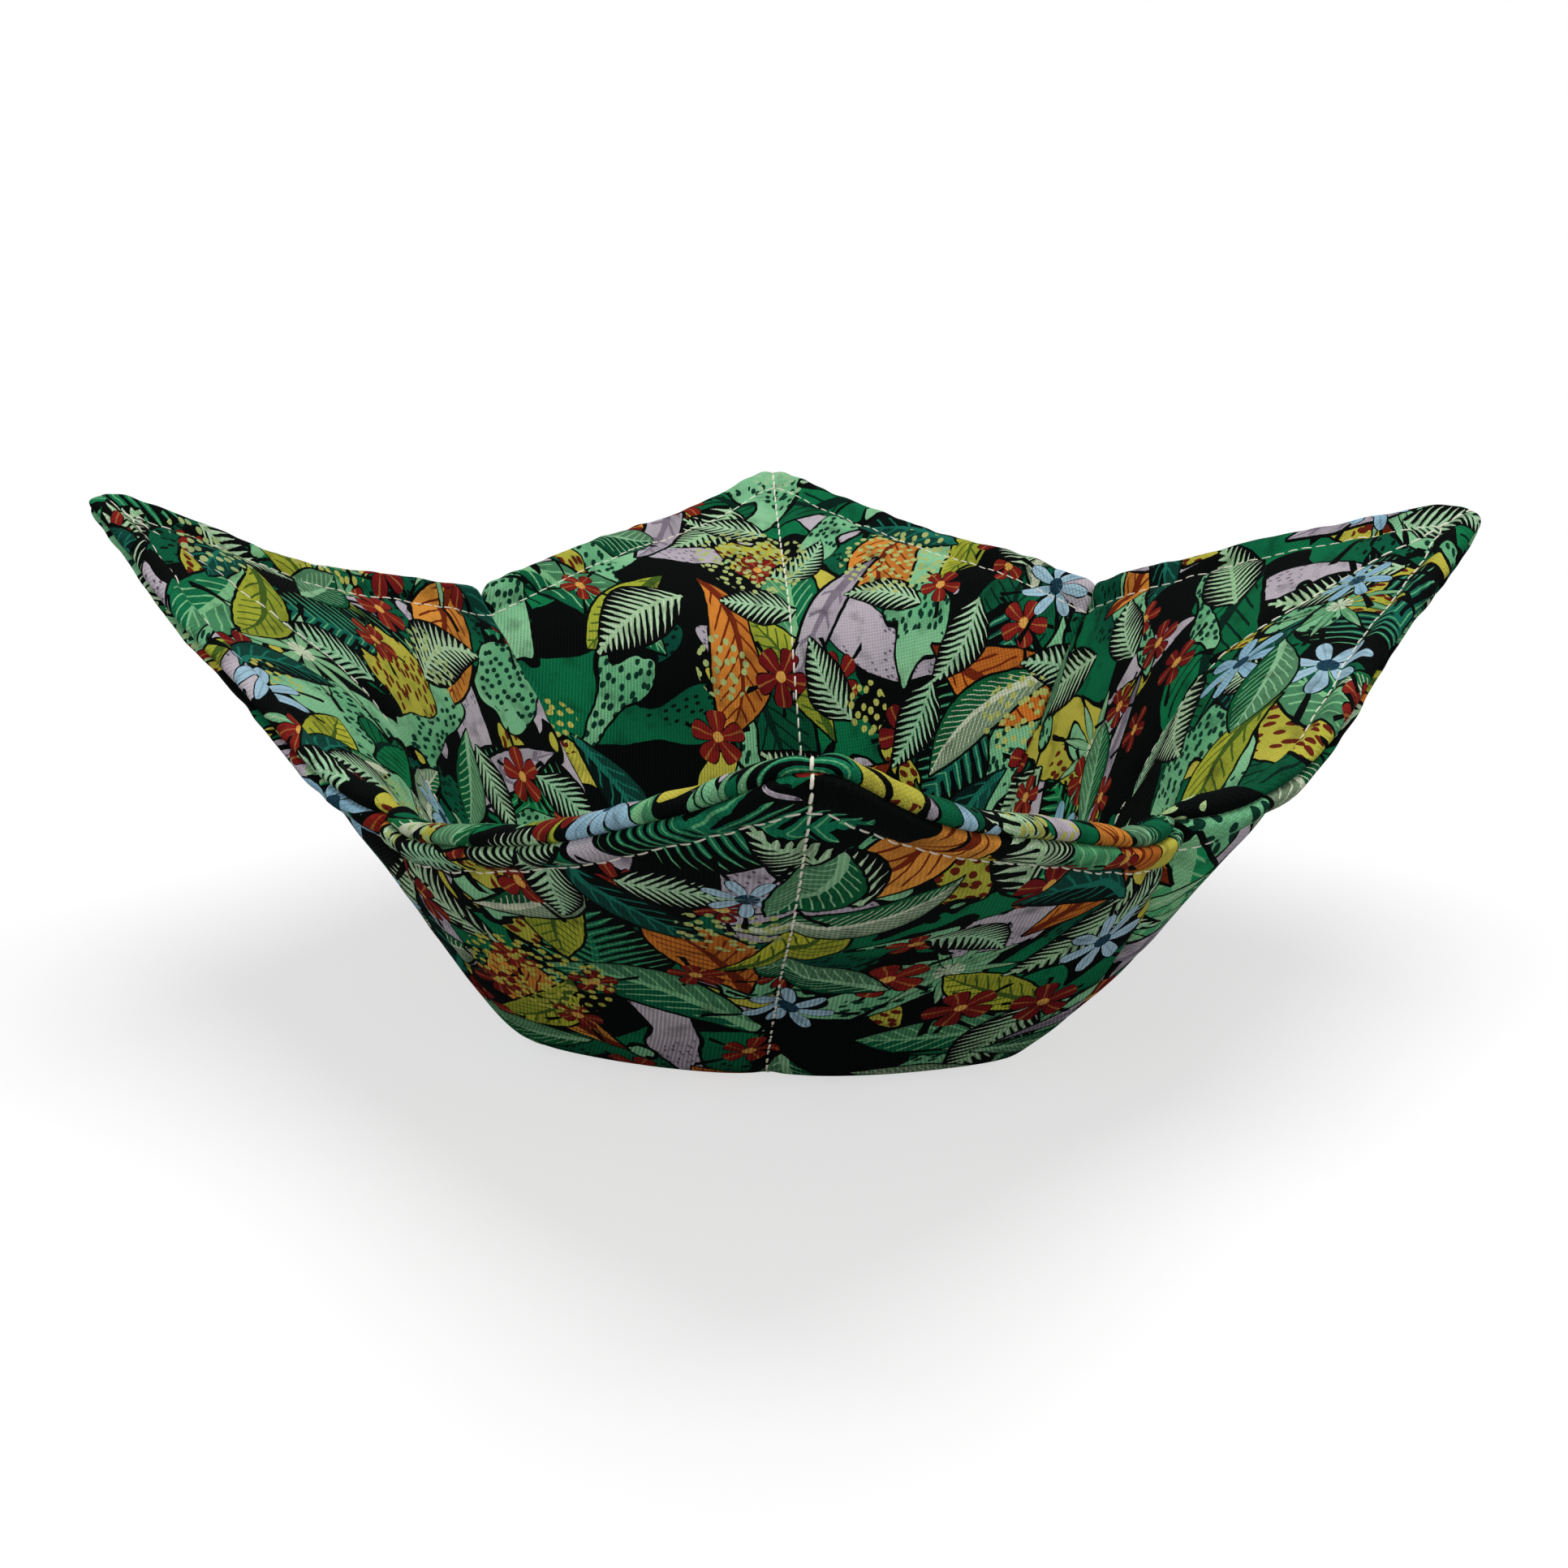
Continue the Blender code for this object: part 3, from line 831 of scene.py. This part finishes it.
# %% A patch: a large loose area with short dabs in it
def patch_group():
    """The patch is where a slow noise is above Shape. Dabs are the middles of the cells of a fine
    Voronoi pattern, present in half of the patch by a second noise."""
    tree, wires = new_group("patch_motif", MOTIF_INPUTS, {"Colour": "Color"})
    tilted = turned_place(tree, wires["Place"], wires["Turn"])
    stretched = vector_maths(tree, "MULTIPLY", tilted, (1, 1.9, 1))
    scale = wires["Size"].maths("POWER", -1)
    slow = node_of(tree, "ShaderNodeTexNoise", "Fac", {"noise_dimensions": "4D"},
                   Vector=stretched, W=wires["Seed"], Scale=scale, Detail=1.5)
    other = node_of(tree, "ShaderNodeTexNoise", "Fac", {"noise_dimensions": "4D"},
                    Vector=wires["Place"], W=wires["Seed"] + 9.3, Scale=scale * 1.7, Detail=1.0)
    cells = node_of(tree, "ShaderNodeTexVoronoi", "Distance", {"voronoi_dimensions": "2D"},
                    Vector=stretched, Scale=wires["Count"], Randomness=0.8)
    dabs = (cells < wires["Amount"]) * (other > 0.5)
    body = blend(tree, (other - 0.35) * 3, wires["Colour"], wires["Other Colour"])
    dabbed = blend(tree, dabs, body, wires["Vein Colour"])
    outlined = blend(tree, slow > wires["Shape"] + -0.012, wires["Under"], INK_BLACK)
    return close_group(tree, Colour=blend(tree, slow > wires["Shape"], outlined, dabbed))


# %% The five groups
MOTIFS = {
    "leaf": leaf_group(),
    "frond": frond_group(),
    "rosette": rosette_group(),
    "berry": berry_group(),
    "patch": patch_group(),
}

# %% The layers of the print, from the lowest to the topmost
# Each has its motif, size in metres, share of cells or of dabs, shape, count, colour, other colour
# and vein colour. The berries have no veins, so their last colour isn't used.
LAYERS = (
    ("patch", 0.050, 0.22, 0.52, 300, "0f7a4c", "0a4a3c", "0a1a14"),
    ("patch", 0.042, 0.18, 0.57, 380, "d2c8d1", "bdb2bf", "6f6474"),
    ("leaf", 0.070, 0.70, 0.36, 7, "13854f", "0a4a38", "072a20"),
    ("frond", 0.058, 0.55, 0.60, 8, "1c9052", "12665a", "74c88c"),
    ("patch", 0.040, 0.30, 0.60, 260, "d8cc52", "b9ba42", "6e2416"),
    ("patch", 0.034, 0.30, 0.58, 300, "9cdba8", "66b883", "0e3a2c"),
    ("leaf", 0.052, 0.55, 0.34, 6, "1f9a60", "0c5a3e", "8ccf96"),
    ("leaf", 0.048, 0.42, 0.40, 5, "f2a444", "e07c2c", "7c2c14"),
    ("rosette", 0.036, 0.40, 1.0, 9, "8cc894", "3f9a66", "dcebc8"),
    ("leaf", 0.040, 0.44, 0.32, 5, "cccc3e", "aab63c", "4d6a26"),
    ("frond", 0.036, 0.36, 0.46, 7, "9ccf9a", "b8dcae", "e6f0d8"),
    ("leaf", 0.056, 0.40, 0.16, 3, "cdc4cc", "b8aeb9", "8d8292"),
    ("leaf", 0.044, 0.45, 0.30, 11, "0f5234", "1c7a44", "dfe7c8"),
    ("rosette", 0.016, 0.22, 0.24, 5, "7a181c", "92261f", "f4b658"),
    ("leaf", 0.036, 0.36, 0.32, 4, "08120f", "0c2420", "1f7a66"),
    ("frond", 0.025, 0.30, 0.50, 6, "8fd0a0", "b4dcae", "e6f0d8"),
    ("berry", 0.036, 0.36, 0.30, 400, "a2d2a4", "cfc854", "cfc854"),
    ("rosette", 0.024, 0.14, 0.45, 7, "b9dbec", "93c4de", "23485c"),
    ("leaf", 0.032, 0.28, 0.40, 6, "16703f", "0a4c34", "9ad0a0"),
)
print(len(LAYERS), "layers of motifs")


# %% [markdown]
# ## Weave
#
# Quilting cotton is a plain weave, here with a thread about every 0.5 mm each way. Close up the
# threads catch the light as small beads, and between them it is dark. A relief in the mesh would
# need millions of faces, so a group gives one height, for the bump and for the shade painted into
# the gaps between the threads alike.
# Both cottons use it.


# %% The weave group
def weave_group():
    """Two sets of rounded ribs, one along each way of the cloth, of which one shows in each square
    of a checkerboard: the height is the rib on top."""
    tree, wires = new_group("plain_weave", {"Place": ("Vector", None), "Pitch": ("Float", 0.00052)},
                            {"Height": "Float"})
    along, across, _ = parts(tree, wires["Place"])
    u = along / wires["Pitch"] * math.pi
    v = across / wires["Pitch"] * math.pi
    over = (u.maths("SINE") * v.maths("SINE")) > 0
    warp = u.maths("SINE").maths("ABSOLUTE") * v.maths("COSINE").maths("ABSOLUTE")
    weft = v.maths("SINE").maths("ABSOLUTE") * u.maths("COSINE").maths("ABSOLUTE")
    top = warp * over + weft * (over * -1 + 1)
    return close_group(tree, Height=top)


WEAVE = weave_group()


# %% The printed cotton
def printed_cotton(name, shift, turn):
    """The layers painted one over the other on the flat cloth, a little unevenly inked, with the
    weave as relief and as shade painted into the gaps between the threads. The threads run along
    the square's sides, half a right angle off the lines to its points."""
    material, tree, shader = new_material(name)
    flat = node_of(tree, "ShaderNodeUVMap", 0, {"uv_map": "flat_cloth"})
    mapping = tree.nodes.new("ShaderNodeMapping")
    plug(tree, flat, mapping.inputs["Vector"])
    mapping.inputs["Location"].default_value = (*shift, 0)
    mapping.inputs["Rotation"].default_value = (0, 0, turn)
    place = Wire(tree, mapping.outputs[0])
    swayed = place
    for scale, amount in ((20.0, 0.006), (330.0, 0.0007)):
        sway = node_of(tree, "ShaderNodeTexNoise", "Color", Vector=place, Scale=scale, Detail=1.0)
        swayed = vector_maths(tree, "MULTIPLY_ADD", sway, (amount, amount, 0), swayed)
    colour = INK_BLACK
    for number, (motif, size, amount, shape, count, one, other, vein) in enumerate(LAYERS):
        colour = group_node(tree, MOTIFS[motif], "Colour", Under=colour, Place=swayed, Size=size,
                            Turn=0.37 + 1.13 * number, Seed=3.1 * number, Amount=amount,
                            Shape=shape, Count=count, Colour=ink(one), Other_Colour=ink(other),
                            Vein_Colour=ink(vein))
    mottle = node_of(tree, "ShaderNodeTexNoise", "Fac", Vector=place, Scale=190.0, Detail=4.0)
    uneven = node_of(tree, "ShaderNodeTexNoise", "Fac", Vector=place, Scale=900.0, Detail=3.0)
    shaded = blend(tree, (mottle - 0.52) * 2.4, colour, INK_BLACK)
    inked = blend(tree, (uneven - 0.50) * 0.6, shaded, INK_BLACK)
    height = group_node(tree, WEAVE, "Height", Place=turned_place(tree, flat, math.pi / 4))
    # Painted shade: the hollows between the threads are darkened towards near black in the colour.
    painted_gap_shade = (height * -1 + 0.6).maths("MAXIMUM", 0)
    plug(tree, blend(tree, painted_gap_shade * 0.7, inked, INK_BLACK), shader.inputs["Base Color"])
    fuzz = node_of(tree, "ShaderNodeTexNoise", "Fac", Vector=place, Scale=2600.0, Detail=2.0)
    relief(tree, shader, height + fuzz * 0.4, 0.9, 0.00016)
    plug(tree, uneven * 0.2 + 0.68, shader.inputs["Roughness"])
    shader.inputs["Specular IOR Level"].default_value = 0.03
    print(f"{name}: {len(tree.nodes)} nodes")
    return material


outer.data.materials.append(printed_cotton("outer_printed_cotton", (0.31, 0.12), 0.5))
lining.data.materials.append(printed_cotton("lining_printed_cotton", (0.07, 0.83), 2.2))

# %% [markdown]
# ## Thread and wadding
#
# The thread is cream cotton, with a fine fuzz. The wadding is undyed cotton, matted and speckled.
# Real fibres could be grown as hairs, but they are finer than a pixel here, so one fine noise gives
# their change of colour and their roughness.


# %% Plain fibres: a colour that varies a little, and a rough relief
def fibre_material(name, light, dark, scale, depth):
    """One noise goes from the dark to the light colour, and is the height and the roughness too."""
    material, tree, shader = new_material(name)
    place = node_of(tree, "ShaderNodeTexCoord", "Object")
    fibres = node_of(tree, "ShaderNodeTexNoise", "Fac", Vector=place, Scale=scale, Detail=4.0)
    plug(tree, blend(tree, fibres, ink(dark), ink(light)), shader.inputs["Base Color"])
    plug(tree, fibres * 0.15 + 0.75, shader.inputs["Roughness"])
    relief(tree, shader, fibres, 0.6, depth)
    return material


thread = fibre_material("cream_thread", "f7f3e6", "cfc7b2", 2500.0, 0.00006)
wadding = fibre_material("cotton_wadding", "efe9da", "cfc6b0", 700.0, 0.0003)
for piece in (outer_cross, lining_cross, outer_hem, lining_hem):
    piece.data.materials.append(thread)
for piece in (outer_pad, lining_pad):
    piece.data.materials.append(wadding)
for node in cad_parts:
    print("carried node", node)

# %% [markdown]
# ## Studio
#
# A pale floor that fades to plain white away from the cozy, so that it keeps the soft shadow and
# has no horizon, and four large soft lamps with a pale sky. Stronger lamps would whiten the floor
# too, but also bleach the print, so the floor adds a glow that only the camera sees, and a colour
# comes out about as written.

# %% Floor
FLOOR_GREY, FLOOR_GLOW = 0.38, 0.62
floor_mesh = bpy.data.meshes.new("floor")
floor_mesh.from_pydata([(-6, -6, 0), (6, -6, 0), (6, 6, 0), (-6, 6, 0)], [], [(0, 1, 2, 3)])
floor = bpy.data.objects.new("floor", floor_mesh)
floor.location.z = -0.0002
bpy.context.scene.collection.objects.link(floor)
floor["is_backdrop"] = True
pale, tree, shader = new_material("pale_floor")
shader.inputs["Base Color"].default_value = (FLOOR_GREY, FLOOR_GREY, FLOOR_GREY, 1)
shader.inputs["Roughness"].default_value = 1
shader.inputs["Specular IOR Level"].default_value = 0
shader.inputs["Emission Color"].default_value = (1, 1, 1, 1)
place = node_of(tree, "ShaderNodeTexCoord", "Object")
distance = node_of(tree, "ShaderNodeVectorMath", "Value", {"operation": "LENGTH"}, Vector=place)
far = ((distance - 0.14) / 0.22).maths("MINIMUM", 1).maths("MAXIMUM", 0)
camera_ray = node_of(tree, "ShaderNodeLightPath", "Is Camera Ray")
plug(tree, camera_ray * FLOOR_GLOW, shader.inputs["Emission Strength"])
white = tree.nodes.new("ShaderNodeEmission")
mix = tree.nodes.new("ShaderNodeMixShader")
plug(tree, far * camera_ray, mix.inputs[0])
tree.links.new(shader.outputs[0], mix.inputs[1])
tree.links.new(white.outputs[0], mix.inputs[2])
tree.links.new(mix.outputs[0], tree.nodes["Material Output"].inputs["Surface"])
floor_mesh.materials.append(pale)
print("floor", tuple(floor.dimensions), "metres")

# %% Sky: plain white to the camera, and a softer level of light
world = bpy.data.worlds.new("studio_sky")
bpy.context.scene.world = world
world.use_nodes = True
tree = world.node_tree
sky = tree.nodes["Background"]
sky.inputs["Color"].default_value = (1, 1, 1, 1)
seen = node_of(tree, "ShaderNodeLightPath", "Is Camera Ray")
plug(tree, seen * 0.7 + 0.3, sky.inputs["Strength"])


# %% Lamps
def soft_lamp(name, place, size, power):
    """A square lamp that faces the cozy."""
    lamp = bpy.data.lights.new(name, "AREA")
    lamp.size = size
    lamp.energy = power
    item = bpy.data.objects.new(name, lamp)
    item.location = place
    away = np.array(place) - (0, 0, 0.04)
    turn = math.atan2(away[1], away[0])
    tilt = math.atan2(math.hypot(away[0], away[1]), away[2])
    item.rotation_euler = (0, tilt, turn)
    bpy.context.scene.collection.objects.link(item)


soft_lamp("overhead", (0.1, 0.1, 1.1), 0.8, 9.4)
soft_lamp("front_left", (-0.7, -0.8, 0.7), 0.6, 2.4)
soft_lamp("front_right", (0.8, -0.6, 0.5), 0.6, 1.6)
soft_lamp("front_low", (-0.1, -1.2, 0.25), 0.6, 2.8)
print(len(bpy.data.lights), "lamps")

# %% [markdown]
# ## Camera
#
# The picture was taken from 0.4 m away and 18 degrees up. That could be judged by eye, but a fit of
# the square's points and darts to the photograph gave it more closely.

# %% The photograph's view
AIM = (-0.00395, -0.0073, 0.04135)
DISTANCE = 0.4
ELEVATION = math.radians(18.3)
camera_data = bpy.data.cameras.new("camera")
camera_data.lens = 49.32
camera_data.sensor_width = 36
camera_data.sensor_fit = "HORIZONTAL"
camera_data.shift_x = -1 / 1932
camera_data.shift_y = -18 / 1932
camera_data.clip_start = 0.01
camera = bpy.data.objects.new("camera", camera_data)
camera.location = (AIM[0], AIM[1] - DISTANCE * math.cos(ELEVATION), AIM[2] + DISTANCE * math.sin(ELEVATION))
camera.rotation_euler = (math.pi / 2 - ELEVATION, 0, 0)
bpy.context.scene.collection.objects.link(camera)
bpy.context.scene.camera = camera
bpy.context.scene.view_settings.view_transform = "Standard"
print("camera at", [round(v, 4) for v in camera.location])

# %% Sizes for the record, and the end
visual_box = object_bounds()
sizes = {"cad": [list(corner) for corner in cad_box], "visual": [list(corner) for corner in visual_box]}
for name, box in sizes.items():
    print(name, "box, mm:", [[round(v * 1000, 1) for v in corner] for corner in box])
